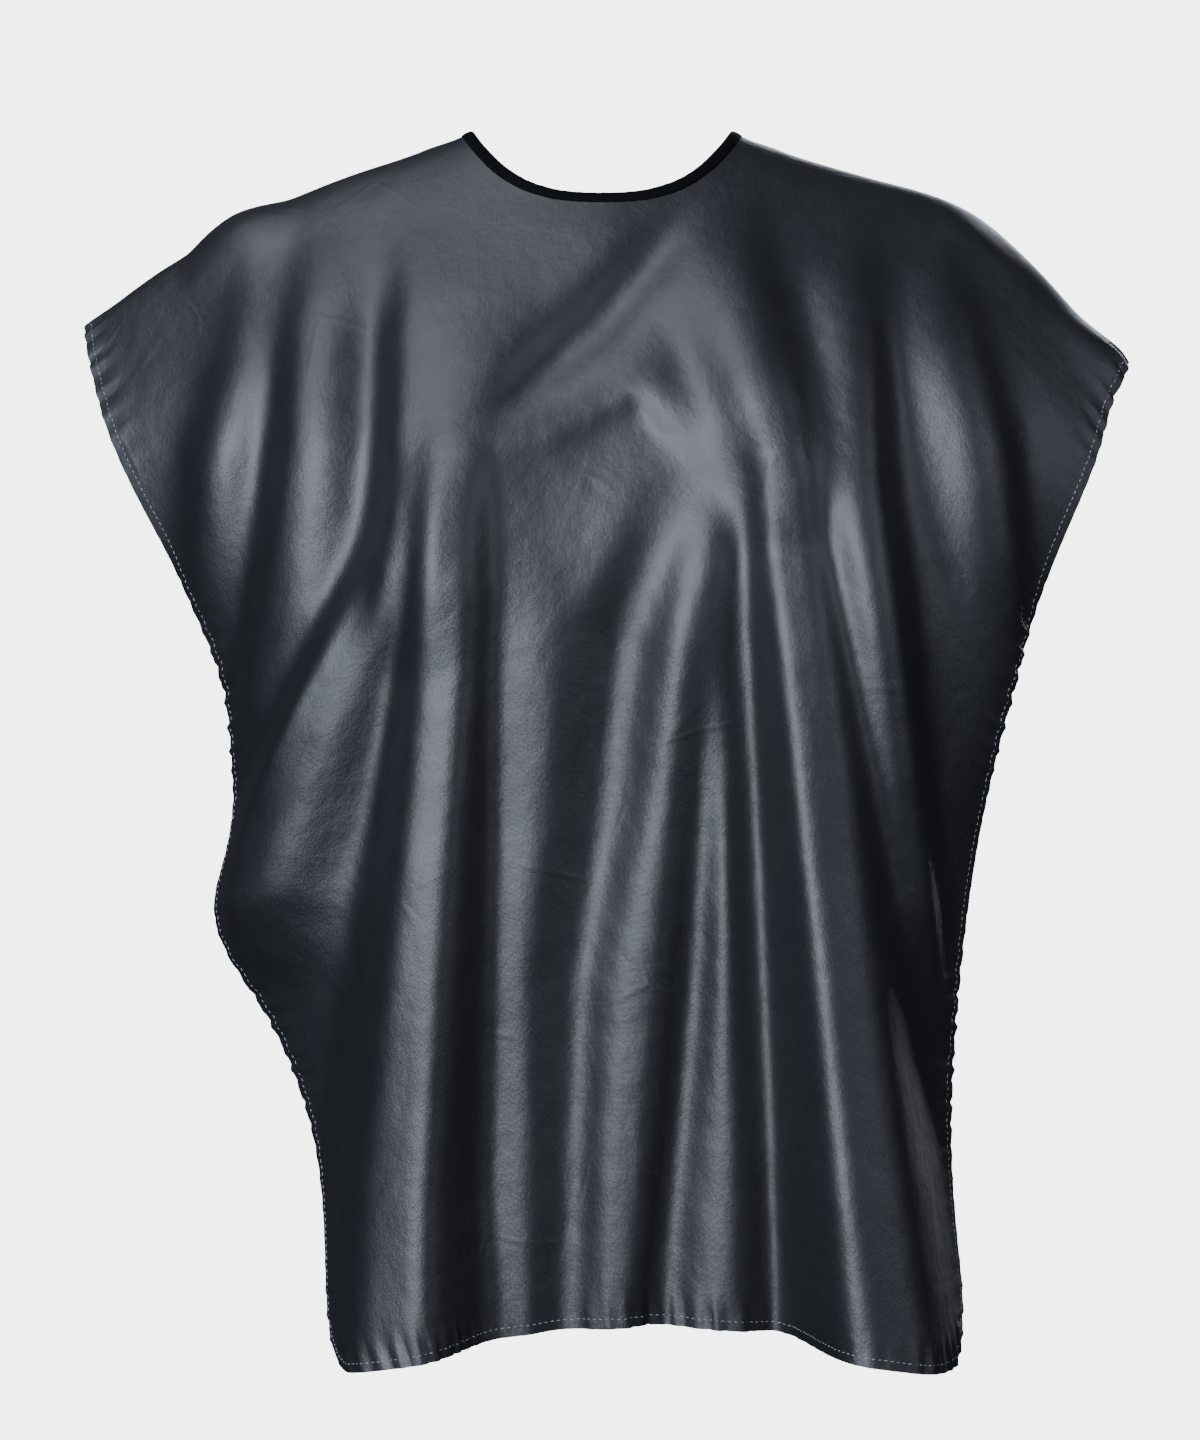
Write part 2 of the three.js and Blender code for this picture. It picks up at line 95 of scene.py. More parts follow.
# The tape around the neck hole.
BINDING_WIDTH = 0.0086
BINDING_THICKNESS = 0.0032
BINDING_INWARDS = 0.30   # how far its middle lies inside the hole, by its width
BINDING_GAP = 0.0024     # half the gap between its two ends

# The closure lies on cloth that stays as designed: reach to each side and below the neck hole.
CLOSURE_REACH = 0.105
CLOSURE_DEPTH = 0.034

# Rows of the drape: v, then x of the middle, half width, bend of x towards the neck, y of the
# middle and of the edges and its power, z of the middle and of the edges and its power.
ROWS = np.array([
    (-0.46, 0.000, 0.215, 0.000, 0.128, 0.082, 1.4, -0.414, -0.545, 1.2),
    (-0.25, 0.000, 0.250, 0.000, 0.122, 0.066, 1.3, -0.208, -0.346, 1.1),
    (-0.16, 0.000, 0.278, 0.000, 0.110, 0.056, 1.2, -0.122, -0.260, 1.1),
    (-0.08, 0.000, 0.313, 0.060, 0.076, 0.036, 1.9, -0.057, -0.192, 1.5),
    (0.00, 0.000, 0.337, 0.093, 0.000, 0.000, 2.2, 0.008, -0.135, 1.6),
    (0.08, 0.000, 0.322, 0.070, -0.075, -0.042, 2.2, -0.057, -0.190, 1.6),
    (0.28, 0.010, 0.257, 0.000, -0.156, -0.042, 2.8, -0.240, -0.352, 1.8),
    (0.50, 0.003, 0.230, 0.000, -0.135, -0.040, 3.2, -0.458, -0.525, 2.0),
    (0.65, 0.020, 0.204, 0.000, -0.114, -0.044, 3.2, -0.608, -0.655, 2.0),
    (0.81, 0.031, 0.203, 0.000, -0.094, -0.048, 3.2, -0.766, -0.792, 1.8),
])

LEAST_GAIN, MOST_GAIN = 0.6, 1.1     # how far the folds' heights may be changed to fit the cut
CREST_POWER, CONE_POWER = 2.6, 4.0   # how broad the crests of the folds are
NECK_ROWS, BODY_ROWS = 0.08, 0.24    # nearer the neck the rows are spaced as the CAD's are
FRONT_START, FRONT_FULL = -0.04, 0.06     # the rows where the folds begin and are at full height
BACK_START, BACK_FULL = -0.10, -0.18
ROW_SAMPLES = 801
GAIN_SEARCHES = 16

# The left side's bulge, and how the shoulders differ from each other.
BULGE, BULGE_ROW, BULGE_REACH = 0.020, 0.49, 0.055
SQUARE_SHOULDER, SQUARE_PLACE, SQUARE_REACH = 0.012, 0.63, 0.16
RIGHT_END_DROP, LEFT_END_RISE, SHOULDER_ROWS = 0.024, 0.007, 0.13

CONES = ("left cone", "right cone")

# Folds on the front: places down the fold as x, z, height towards the viewer, and half width on
# the left and on the right. A valley has a negative height.
FRONT_FOLDS = {
    "left cone": [(-0.090, -0.200, 0, .016, .018), (-0.094, -0.313, .020, .022, .024),
                  (-0.104, -0.435, .036, .028, .030), (-0.117, -0.557, .050, .034, .038),
                  (-0.130, -0.679, .062, .040, .046), (-0.134, -0.800, .070, .044, .054)],
    "right cone": [(0.104, -0.200, 0, .015, .016), (0.117, -0.313, .022, .022, .023),
                   (0.134, -0.435, .042, .030, .030), (0.151, -0.557, .060, .038, .036),
                   (0.167, -0.679, .076, .046, .042), (0.182, -0.800, .086, .052, .046)],
    "left inner step": [(-0.112, -0.080, 0, .013, .070), (-0.120, -0.150, .018, .014, .080),
                        (-0.120, -0.215, .026, .016, .080), (-0.124, -0.300, .016, .018, .060),
                        (-0.130, -0.360, 0, .018, .040)],
    "left fan": [(-0.104, -0.225, 0, .010, .024), (-0.150, -0.310, .020, .011, .036),
                 (-0.190, -0.385, .032, .012, .046), (-0.222, -0.450, .036, .012, .052),
                 (-0.232, -0.500, .030, .012, .052), (-0.224, -0.560, 0, .014, .050)],
    "left middle step": [(-0.176, -0.072, 0, .011, .034), (-0.186, -0.142, .018, .012, .034),
                         (-0.190, -0.215, .026, .013, .042), (-0.206, -0.313, .026, .014, .040),
                         (-0.222, -0.380, .020, .014, .030), (-0.236, -0.440, 0, .014, .030)],
    "left outer step": [(-0.212, -0.085, 0, .011, .028), (-0.232, -0.166, .014, .012, .028),
                        (-0.248, -0.225, .020, .013, .028), (-0.254, -0.300, .014, .014, .028),
                        (-0.256, -0.370, 0, .014, .028)],
    "left middle fold": [(-0.055, -0.264, 0, .018, .023), (-0.045, -0.337, .006, .028, .028),
                         (-0.036, -0.435, .0067, .032, .030), (-0.046, -0.557, .0067, .032, .028),
                         (-0.050, -0.800, .0067, .030, .025)],
    "middle valley": [(0.052, -0.225, 0, .016, .016), (0.016, -0.337, -.012, .023, .023),
                      (0.001, -0.435, -.011, .024, .024), (-0.020, -0.545, -.0083, .020, .020),
                      (-0.022, -0.650, -.0075, .018, .018), (-0.023, -0.800, -.0067, .018, .018)],
    "middle fold": [(0.071, -0.250, 0, .018, .014), (0.048, -0.337, .006, .023, .018),
                    (0.040, -0.435, .006, .030, .018), (0.028, -0.545, .0067, .030, .018),
                    (0.018, -0.650, .0067, .030, .021), (0.003, -0.800, .0067, .025, .023)],
    "right middle valley": [(0.066, -0.290, 0, .011, .011), (0.061, -0.435, -.0053, .013, .013),
                            (0.055, -0.545, -.0075, .013, .013),
                            (0.040, -0.700, -.0075, .010, .015), (0.034, -0.800, -.006, .016, .016)],
    "right middle fold": [(0.078, -0.270, 0, .014, .014), (0.082, -0.435, .0067, .018, .016),
                          (0.088, -0.557, .0067, .021, .016), (0.090, -0.650, .0067, .023, .018),
                          (0.076, -0.800, .0067, .023, .021)],
    "valley by the cone": [(0.082, -0.250, 0, .010, .010), (0.086, -0.337, -.006, .013, .013),
                           (0.092, -0.435, -.009, .015, .015), (0.100, -0.557, -.010, .016, .016),
                           (0.108, -0.679, -.010, .017, .017), (0.116, -0.800, -.010, .017, .017)],
    "right inner step": [(0.158, -0.070, 0, .034, .011), (0.163, -0.150, .020, .036, .012),
                         (0.165, -0.240, .032, .036, .013), (0.176, -0.313, .036, .034, .013),
                         (0.190, -0.420, .036, .030, .013), (0.202, -0.500, .030, .026, .013),
                         (0.214, -0.600, 0, .024, .013)],
    "right outer step": [(0.208, -0.080, 0, .034, .011), (0.228, -0.142, .016, .036, .012),
                         (0.246, -0.215, .024, .036, .013), (0.257, -0.290, .022, .034, .013),
                         (0.260, -0.380, .012, .030, .013), (0.250, -0.460, 0, .030, .013)],
    "right neck step": [(0.080, -0.058, 0, .040, .010), (0.088, -0.100, .012, .045, .013),
                        (0.097, -0.140, .024, .045, .018), (0.104, -0.180, .030, .040, .022),
                        (0.112, -0.220, .026, .036, .022), (0.122, -0.280, 0, .030, .020)],
    "chest groove": [(0.060, -0.058, 0, .008, .008), (0.035, -0.093, -.009, .013, .013),
                     (0.000, -0.136, -.014, .014, .014), (-0.034, -0.166, -.012, .014, .014),
                     (-0.075, -0.208, 0, .010, .010)],
    "chest crease": [(-0.081, -0.216, 0, .009, .020), (-0.030, -0.208, .006, .009, .024),
                     (0.026, -0.181, .009, .009, .026), (0.050, -0.205, .005, .012, .016),
                     (0.070, -0.235, 0, .012, .012)],
}
BACK_FOLDS = {
    "left inner": [(-0.060, -0.160, 0, .022, .022), (-0.085, -0.450, .030, .030, .030)],
    "left outer": [(-0.150, -0.200, 0, .024, .024), (-0.175, -0.500, .032, .032, .032)],
    "right inner": [(0.070, -0.170, 0, .020, .020), (0.075, -0.450, .028, .028, .028)],
    "right outer": [(0.155, -0.200, 0, .024, .024), (0.180, -0.500, .034, .034, .034)],
}


# ---------------------------------------------------------------- the camera and the light

CAMERA_PLACE = (0.0, -2.32, -0.386)
CAMERA_LENS = 88.7
SENSOR = 36.0
BACKDROP = 5.0           # brightness of the floor and of what is seen behind the cape


def make_camera():
    data = bpy.data.cameras.new("camera")
    data.lens = CAMERA_LENS
    data.sensor_width = SENSOR
    data.shift_x = -0.0014
    camera = bpy.data.objects.new("camera", data)
    camera.location = CAMERA_PLACE
    camera.rotation_euler = (math.radians(90), 0, 0)
    bpy.context.scene.collection.objects.link(camera)
    bpy.context.scene.camera = camera


def area_light(name, place, aim, size, power, colour):
    data = bpy.data.lights.new(name, "AREA")
    data.shape = "RECTANGLE"
    data.size, data.size_y = size
    data.energy = power
    data.color = colour
    light = bpy.data.objects.new(name, data)
    light.location = place
    direction = np.array(aim) - np.array(place)
    light.rotation_euler = Vector(direction).to_track_quat("-Z", "Y").to_euler()
    bpy.context.scene.collection.objects.link(light)


def make_lights():
    aim = (0.0, 0.0, -0.35)
    area_light("key_light", (-1.25, -3.2, -0.05), aim, (2.3, 3.1), 205, (0.80, 0.86, 1.0))
    area_light("fill_light", (2.8, -1.6, 0.4), aim, (1.0, 2.0), 20, (0.80, 0.87, 1.0))
    area_light("top_light", (-0.9, -0.9, 2.3), (0.0, 0.0, -0.05), (1.4, 1.4), 34, (0.82, 0.88, 1.0))
    area_light("back_light", (0.9, 3.0, 0.6), aim, (2.0, 2.2), 150, (0.85, 0.9, 1.0))


def make_world():
    world = bpy.data.worlds.new("studio")
    bpy.context.scene.world = world
    world.use_nodes = True
    nodes, links = world.node_tree.nodes, world.node_tree.links
    nodes.clear()
    out = nodes.new("ShaderNodeOutputWorld")
    mix = nodes.new("ShaderNodeMixShader")
    seen = nodes.new("ShaderNodeLightPath")
    dim, pale = nodes.new("ShaderNodeBackground"), nodes.new("ShaderNodeBackground")
    dim.inputs["Color"].default_value = (0.80, 0.86, 1.0, 1)
    dim.inputs["Strength"].default_value = 0.03
    pale.inputs["Color"].default_value = (1.0, 1.0, 1.0, 1)
    pale.inputs["Strength"].default_value = BACKDROP
    links.new(seen.outputs["Is Camera Ray"], mix.inputs[0])
    links.new(dim.outputs[0], mix.inputs[1])
    links.new(pale.outputs[0], mix.inputs[2])
    links.new(mix.outputs[0], out.inputs["Surface"])


def make_floor():
    height = -1.9
    reach = 30.0
    mesh = bpy.data.meshes.new("floor")
    corners = [(-reach, -reach, height), (reach, -reach, height),
               (reach, reach, height), (-reach, reach, height)]
    mesh.from_pydata(corners, [], [(0, 1, 2, 3)])
    floor = bpy.data.objects.new("floor", mesh)
    bpy.context.scene.collection.objects.link(floor)
    material = bpy.data.materials.new("pale_floor")
    material.use_nodes = True
    shader = material.node_tree.nodes["Principled BSDF"]
    shader.inputs["Base Color"].default_value = (0.05, 0.05, 0.05, 1)
    shader.inputs["Roughness"].default_value = 0.9
    shader.inputs["Emission Color"].default_value = (1.0, 1.0, 1.0, 1)
    shader.inputs["Emission Strength"].default_value = BACKDROP
    mesh.materials.append(material)
    floor.visible_diffuse = False
    floor.visible_glossy = False


# ---------------------------------------------------------------- the designed drape

def row_value(v, column):
    """Smooth curve through one column of ROWS."""
    keys, values = ROWS[:, 0], ROWS[:, column]
    slopes = np.gradient(values, keys)
    k = np.clip(np.searchsorted(keys, v) - 1, 0, len(keys) - 2)
    span = keys[k + 1] - keys[k]
    t = np.clip((v - keys[k]) / span, 0, 1)
    start = (2 * t**3 - 3 * t**2 + 1) * values[k] + (t**3 - 2 * t**2 + t) * span * slopes[k]
    end = (3 * t**2 - 2 * t**3) * values[k + 1] + (t**3 - t**2) * span * slopes[k + 1]
    return start + end


def unfolded(u, v):
    """Place of flat coordinates u, v on the drape before its folds."""
    share = u / HALF
    reach = np.abs(share)
    x = row_value(v, 1) + row_value(v, 2) * (share + row_value(v, 3) * np.sin(np.pi * share))
    y = row_value(v, 4) + (row_value(v, 5) - row_value(v, 4)) * reach ** row_value(v, 6)
    z = row_value(v, 7) + (row_value(v, 8) - row_value(v, 7)) * reach ** row_value(v, 9)
    return x + side_bulge(share, v), y, z + shoulder_slope(share, v)


def bell(value, middle, reach):
    return np.exp(-(((value - middle) / reach) ** 2))


def side_bulge(share, v):
    """The left edge swings out where a side fold turns under."""
    return -BULGE * np.clip(-share, 0, 1) ** 4 * bell(v, BULGE_ROW, BULGE_REACH)


def shoulder_slope(share, v):
    """The shoulder at +X is square and drops at its end; the one at -X slopes and rises a little."""
    bump = SQUARE_SHOULDER * bell(share, SQUARE_PLACE, SQUARE_REACH)
    end = np.where(share > 0, -RIGHT_END_DROP, LEFT_END_RISE) * np.abs(share) ** 7
    return (bump + end) * bell(v, 0, SHOULDER_ROWS)


def fold_height(folds, x, z):
    """Height that the folds add at x, z."""
    total = np.zeros_like(x)
    for name, fold in folds.items():
        nearest = np.full(len(x), np.inf)
        height, width = np.zeros_like(x), np.ones_like(x)
        for start, end in zip(np.array(fold)[:-1], np.array(fold)[1:]):
            run, drop = end[0] - start[0], end[1] - start[1]
            along = ((x - start[0]) * run + (z - start[1]) * drop) / (run**2 + drop**2)
            along = np.clip(along, 0, 1)
            aside, below = x - start[0] - along * run, z - start[1] - along * drop
            apart = np.hypot(aside, below)
            closer = apart < nearest
            side = 3 + (aside * -drop + below * run > 0)
            here = start + along[:, None] * (end - start)
            nearest = np.where(closer, apart, nearest)
            height = np.where(closer, here[:, 2], height)
            width = np.where(closer, here[np.arange(len(x)), side], width)
        power = CONE_POWER if name in CONES else CREST_POWER
        total += height * np.exp(-((nearest / width) ** power))
    return total


def row_of_cloth(v, us):
    """Places along the row at flat height v, spaced along the folds as in the flat cut."""
    flat = np.linspace(-HALF, HALF, ROW_SAMPLES)
    x, y, z = unfolded(flat, np.full(len(flat), v))
    front = v > FRONT_START
    height = fold_height(FRONT_FOLDS if front else BACK_FOLDS, x, z)
    side = -1 if front else 1
    start, full = (FRONT_START, FRONT_FULL) if front else (BACK_START, BACK_FULL)
    onset = min(1, max(0, (v - start) / (full - start)))

    def places(gain):
        curve = np.stack([x, y + side * height * gain, z], 1)
        lengths = np.linalg.norm(np.diff(curve, axis=0), axis=1)
        return curve, np.concatenate([[0], np.cumsum(lengths)])

    low, high = LEAST_GAIN, MOST_GAIN
    for _ in range(GAIN_SEARCHES):
        gain = (low + high) / 2
        if places(gain)[1][-1] < WIDTH:
            low = gain
        else:
            high = gain
    curve, along = places((low + high) / 2 * onset)
    middle = along[len(flat) // 2]
    even = middle + np.where(us < 0, middle, along[-1] - middle) * us / HALF
    as_cad = np.interp(us, flat, along)
    evenness = np.clip((abs(v) - NECK_ROWS) / (BODY_ROWS - NECK_ROWS), 0, 1)
    wanted = as_cad + (even - as_cad) * evenness
    return np.stack([np.interp(wanted, along, curve[:, k]) for k in range(3)], 1)


# ---------------------------------------------------------------- the flat cut

def flat_cut():
    """The cut as a grid of cells, with its edges moved onto the neck hole and round corners."""
    columns = int(round(WIDTH / CELL / 2)) * 2 + 1
    u = np.linspace(-HALF, HALF, columns)
    cell = u[1] - u[0]
    behind = np.linspace(-BACK, 0, int(round(BACK / cell)) + 1)[:-1]
    v = np.concatenate([behind, np.linspace(0, FRONT, int(round(FRONT / cell)) + 1)])
    grid_u, grid_v = np.meshgrid(u, v)
    radius = np.hypot(grid_u, grid_v)
    kept = radius > NECK - cell / 2
    snap = np.where(kept & (radius < NECK + cell / 2), NECK / np.maximum(radius, 1e-9), 1.0)
    flat_u, flat_v = grid_u * snap, grid_v * snap
    for side in (-1, 1):
        for end, way in ((FRONT, 1), (-BACK, -1)):
            across = side * (flat_u - side * (HALF - CORNER))
            along = way * (flat_v - (end - way * CORNER))
            near = (across > 0) & (along > 0)
            longest = np.maximum(across, along)
            pull = np.where(near, longest / np.maximum(np.hypot(across, along), 1e-9), 1.0)
            flat_u = np.where(near, side * (HALF - CORNER + across * pull), flat_u)
            flat_v = np.where(near, end - way * CORNER + way * along * pull, flat_v)
    index = np.full(grid_u.shape, -1)
    index[kept] = np.arange(kept.sum())
    flat = np.stack([flat_u[kept], flat_v[kept]], 1)
    middle = columns // 2
    slit_rows = np.nonzero(kept[:, middle] & (v < -NECK + cell / 2))[0]
    left, right = index.copy(), index.copy()
    right[slit_rows, middle] = len(flat) + np.arange(len(slit_rows))
    flat = np.concatenate([flat, flat[index[slit_rows, middle]]])
    faces = []
    for j in range(len(v) - 1):
        for i in range(columns - 1):
            grid = right if i >= middle else left
            corners = (grid[j, i], grid[j, i + 1], grid[j + 1, i + 1], grid[j + 1, i])
            corners = tuple(int(k) for k in corners if k >= 0)
            if len(corners) >= 3:
                faces.append(corners)
    halves = (left[:, :middle + 1], right[:, middle:])
    return flat, faces, halves, (left, right), v


def laid_out(flat, grids, rows):
    """The cut's points on the designed drape."""
    points = np.zeros((len(flat), 3))
    for j, v in enumerate(rows):
        used = np.unique(np.concatenate([grid[j] for grid in grids]))
        used = used[used >= 0]
        points[used] = row_of_cloth(v, flat[used, 0])
        moved = used[np.abs(flat[used, 1] - v) > 1e-6]
        for k in moved:
            points[k] = row_of_cloth(flat[k, 1], flat[k:k + 1, 0])[0]
    return points


def threads_of(flat, halves):
    """Pairs of points that keep their flat distance: woven threads, diagonals and bends."""
    groups = {}

    def add(name, first, second):
        rows, columns = min(len(first), len(second)), min(first.shape[1], second.shape[1])
        first, second = first[:rows, :columns], second[:rows, :columns]
        there = (first >= 0) & (second >= 0)
        groups.setdefault(name, []).append(np.stack([first[there], second[there]], 1))

    for half in halves:
        for p in (0, 1):
            add(("weave", "u", p), half[:, p:-1:2], half[:, p + 1::2])
            add(("weave", "v", p), half[p:-1:2], half[p + 1::2])
            for q in (0, 1):
                add(("shear", "a", p, q), half[p:-1:2, q:-1:2], half[p + 1::2, q + 1::2])
                add(("shear", "b", p, q), half[p:-1:2, q + 1::2], half[p + 1::2, q:-1:2])
        for p in range(4):
            add(("bend", "u", p), half[:, p:-2:4], half[:, p + 2::4])
            add(("bend", "v", p), half[p:-2:4], half[p + 2::4])
    sets = []
    for name, pairs in groups.items():
        left = np.unique(np.sort(np.concatenate(pairs), 1), axis=0)
        while len(left):
            chosen = unshared(left)
            first, second = left[chosen].T
            length = np.linalg.norm(flat[first] - flat[second], axis=1)
            sets.append((name[0], first.copy(), second.copy(), length))
            left = left[~chosen]
    return sets


def unshared(pairs):
    """Marks pairs that can be moved together because no point is in two of them."""
    chosen = np.zeros(len(pairs), bool)
    _, first = np.unique(pairs[:, 0], return_index=True)
    _, second = np.unique(pairs[first, 1], return_index=True)
    picked = first[second]
    both = np.intersect1d(pairs[picked, 0], pairs[picked, 1])
    picked = picked[~np.isin(pairs[picked, 0], both)]
    chosen[picked if len(picked) else first[:1]] = True
    return chosen


# ---------------------------------------------------------------- the wearer, for collision

def ellipsoid(points, centre, radii):
    radii = np.array(radii)
    scaled = (points - np.array(centre)) / radii
    inner = np.linalg.norm(scaled, axis=1)
    return inner * (inner - 1) / np.maximum(np.linalg.norm(scaled / radii, axis=1), 1e-9)


def round_cone(points, start, end, start_radius, end_radius):
    start, end = np.array(start), np.array(end)
    axis = end - start
    t = np.clip(((points - start) @ axis) / (axis @ axis), 0, 1)
    return np.linalg.norm(points - start - t[:, None] * axis, axis=1) - (
        start_radius + (end_radius - start_radius) * t)


def blended(a, b, reach):
    t = np.clip(0.5 + 0.5 * (b - a) / reach, 0, 1)
    return b * (1 - t) + a * t - reach * t * (1 - t)


def wearer(points):
    """Distance from the wearer's body, negative inside."""
    distance = round_cone(points, (0, 0.004, -0.2), (0, 0.010, 0.05), 0.062, 0.062)
    for side in (-1, 1):
        neck_end = (side * 0.045, 0.005, -0.060)
        joint = (side * 0.215, 0.008, -0.108)
        elbow_end = (side * 0.315, 0.0, -0.165)
        shoulder = round_cone(points, neck_end, joint, 0.055, 0.050)
        arm = round_cone(points, joint, elbow_end, 0.050, 0.030)
        chest = ellipsoid(points, (side * 0.088, -0.080, -0.238), (0.060, 0.066, 0.066))
        for part in (shoulder, arm, chest):
            distance = blended(distance, part, 0.03)
    ribs = ellipsoid(points, (0, 0.015, -0.24), (0.165, 0.098, 0.19))
    waist = ellipsoid(points, (0, 0.02, -0.42), (0.135, 0.095, 0.2))
    return blended(blended(distance, ribs, 0.04), waist, 0.04)


def away_from_wearer(points):
    step = 1e-3
    rises = [wearer(points + step * axis) - wearer(points - step * axis) for axis in np.eye(3)]
    slope = np.stack(rises, 1)
    return slope / np.maximum(np.linalg.norm(slope, axis=1, keepdims=True), 1e-9)


# ---------------------------------------------------------------- the relaxation

def relaxed(points, flat, halves, held):
    """Position-based dynamics: pulls the hanging cloth towards its flat lengths and the design."""
    design = points.copy()
    free = np.ones(len(points))
    free[held] = 0
    strength = {"weave": 1.0, "shear": SHEAR, "bend": BEND}
    cut = flat.copy()
    cut[:, 1] *= 1 - SIDE_RISE * (cut[:, 1] > 0) * np.abs(cut[:, 0] / HALF) ** 2.5
    sets = []
    for kind, first, second, length in threads_of(cut, halves):
        total = np.maximum(free[first] + free[second], 1e-9)
        share = strength[kind] / total
        moves = (share * free[first])[:, None], (share * free[second])[:, None]
        sets.append((kind, first, second, length, *moves))
    speed = np.zeros_like(points)
    for _ in range(STEPS):
        before = points
        speed[:, 2] -= GRAVITY * STEP_TIME
        points = points + speed * (1 - DRAG) * STEP_TIME * free[:, None]
        points += (design - points) * PULL
        for kind, first, second, length, move_first, move_second in sets:
            apart = points[first] - points[second]
            now = np.sqrt(np.einsum("ij,ij->i", apart, apart))
            error = (now - length) / np.maximum(now, 1e-9)
            if kind == "bend":
                error = np.minimum(error, 0)
            else:
                error = np.where(error < 0, error * GIVE, error)
            apart *= error[:, None]
            points[first] -= apart * move_first
            points[second] += apart * move_second
        rub(points, before)
        points[held] = design[held]
        speed = (points - before) / STEP_TIME
    return points


def rub(points, before):
    """Moves points out of the wearer, with friction."""
    near = wearer(points) < SKIN
    if not near.any():
        return
    out = away_from_wearer(points[near])
    placed = points[near] + out * (SKIN - wearer(points[near]))[:, None]
    moved = placed - before[near]
    sliding = moved - (moved * out).sum(1, keepdims=True) * out
    points[near] = placed - sliding * FRICTION


# ---------------------------------------------------------------- from points to cloth

def subdivided(points, faces, flat, levels):
    """Smooth finer mesh: points, faces and the flat coordinates of each point."""
    mesh = bpy.data.meshes.new("coarse")
    mesh.from_pydata(points.tolist(), [], faces)
    layer = mesh.uv_layers.new(name="flat")
    corner = np.zeros(len(mesh.loops), np.int32)
    mesh.loops.foreach_get("vertex_index", corner)
    layer.data.foreach_set("uv", flat[corner].astype(np.float32).ravel())
    coarse = bpy.data.objects.new("coarse", mesh)
    bpy.context.scene.collection.objects.link(coarse)
    smooth = coarse.modifiers.new("smooth", "SUBSURF")
    smooth.levels = levels
    smooth.uv_smooth = "PRESERVE_BOUNDARIES"
    smooth.boundary_smooth = "ALL"
    evaluated = coarse.evaluated_get(bpy.context.evaluated_depsgraph_get())
    fine = bpy.data.meshes.new_from_object(evaluated)
    places = np.zeros(len(fine.vertices) * 3, np.float32)
    fine.vertices.foreach_get("co", places)
    corner = np.zeros(len(fine.loops), np.int32)
    fine.loops.foreach_get("vertex_index", corner)
    uv = np.zeros(len(fine.loops) * 2, np.float32)
    fine.uv_layers["flat"].data.foreach_get("uv", uv)
    fine_flat = np.zeros((len(fine.vertices), 2))
    fine_flat[corner] = uv.reshape(-1, 2)
    fine_faces = corner.reshape(-1, 4)
    bpy.data.objects.remove(coarse)
    return places.reshape(-1, 3).astype(float), fine_faces, fine_flat


def normals_of(points, faces):
    """Outward normals of the cloth's points."""
    a, b, c, d = (points[faces[:, k]] for k in range(4))
    face = np.cross(c - a, d - b)
    total = np.zeros_like(points)
    for k in range(4):
        np.add.at(total, faces[:, k], face)
    return total / np.maximum(np.linalg.norm(total, axis=1, keepdims=True), 1e-12)


def edge_distance(flat):
    """Distance from the cut's outer edge, rounded corners included."""
    u, v = np.abs(flat[:, 0]), flat[:, 1]
    length = np.where(v > 0, FRONT, BACK)
    across, along = HALF - u, length - np.abs(v)
    corner = CORNER - np.hypot(CORNER - across, CORNER - along)
    return np.where((across < CORNER) & (along < CORNER), corner, np.minimum(across, along))


def slit_distance(flat):
    return np.where(flat[:, 1] < -NECK, np.abs(flat[:, 0]), 1.0)


def edge_position(flat):
    """A length that runs along the outer edge, for what repeats along the hem."""
    return np.where(HALF - np.abs(flat[:, 0]) < FRONT - flat[:, 1], flat[:, 1], flat[:, 0])


def hem_puckers(flat):
    """Small ruffles that the hem's stitching draws into the thin cloth."""
    near = np.exp(-((edge_distance(flat) - STITCH_INSET) / 0.014) ** 2)
    along = edge_position(flat)
    beat = np.sin(along * 2 * np.pi / 0.017 + 1.7 * np.sin(along * 31))
    beat += 0.7 * np.sin(along * 2 * np.pi / 0.0093 + 2.1 * np.sin(along * 47 + 1))
    strength = 0.55 + 0.45 * np.sin(along * 23 + 0.8)
    return 0.0011 * near * beat * strength


def cloth_shell(name, points, faces, flat, normals):
    """Closed thin mesh of some of the cloth's faces, thicker where the hem is folded."""
    used, local = np.unique(faces, return_inverse=True)
    local = local.reshape(-1, 4)
    count = len(used)
    hem = np.minimum(edge_distance(flat), slit_distance(flat))[used]
    thick = np.where(hem < HEM, HEM_THICKNESS, THICKNESS)
    outer = points[used]
    inner = outer - normals[used] * thick[:, None]
    sides = np.concatenate([np.stack([local[:, k], local[:, (k + 1) % 4]], 1) for k in range(4)])
    key = sides[:, 0].astype(np.int64) * count + sides[:, 1]
    back = sides[:, 1].astype(np.int64) * count + sides[:, 0]
    rim = sides[~np.isin(key, back)]
    walls = np.stack([rim[:, 1], rim[:, 0], rim[:, 0] + count, rim[:, 1] + count], 1)
    quads = np.concatenate([local, local[:, ::-1] + count, walls])
    mesh = bpy.data.meshes.new(name)
    mesh.from_pydata(np.concatenate([outer, inner]).tolist(), [], quads.tolist())
    layer = mesh.uv_layers.new(name="flat")
    both = np.concatenate([flat[used], flat[used]])
    layer.data.foreach_set("uv", both[quads.ravel()].astype(np.float32).ravel())
    mesh.polygons.foreach_set("use_smooth", np.ones(len(quads), bool))
    both_normals = np.concatenate([normals[used], -normals[used]])
    mesh.normals_split_custom_set_from_vertices(both_normals.tolist())
    cloth = bpy.data.objects.new(name, mesh)
    bpy.context.scene.collection.objects.link(cloth)
    return cloth


# ---------------------------------------------------------------- materials

def node_material(name):
    material = bpy.data.materials.new(name)
    material.use_nodes = True
    tree = material.node_tree
    return material, tree.nodes, tree.links, tree.nodes["Principled BSDF"]


